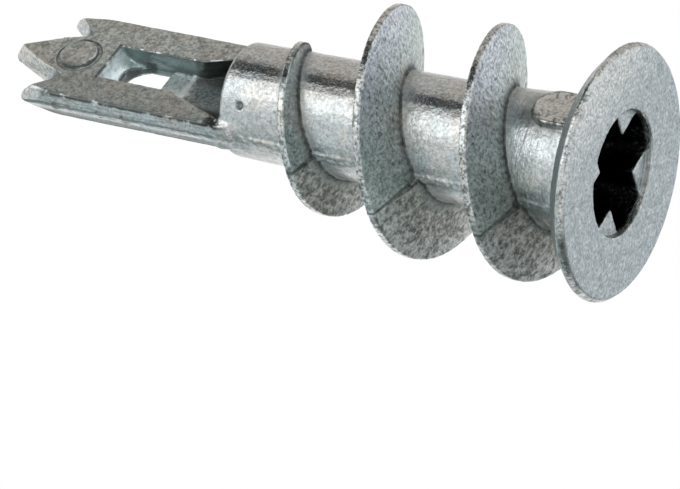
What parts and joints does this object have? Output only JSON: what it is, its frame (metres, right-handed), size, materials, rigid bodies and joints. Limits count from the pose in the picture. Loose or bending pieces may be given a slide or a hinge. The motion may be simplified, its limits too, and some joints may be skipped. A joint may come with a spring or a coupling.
{
  "type": "plasterboard anchor",
  "caption": "Self-drilling cast zinc plasterboard anchor with a deep screw thread, a flange with a cross-drive recess, a screw bore and a pronged drill blade.",
  "frame": {"origin": "centre of the flange's outer face, on the axis of the screw bore", "axes": "+Z along the bore from the flange to the drill point, X across the width of the drill blade, Y out of the blade's flat face with the raised round pad, which is the way the mould opens"},
  "size_m": [0.0142, 0.0142, 0.039],
  "materials": {
    "cast_zinc": "as-cast satin"
  },
  "bodies": {
    "root": {"anchor_body": "cast_zinc"}
  },
  "joints": []
}
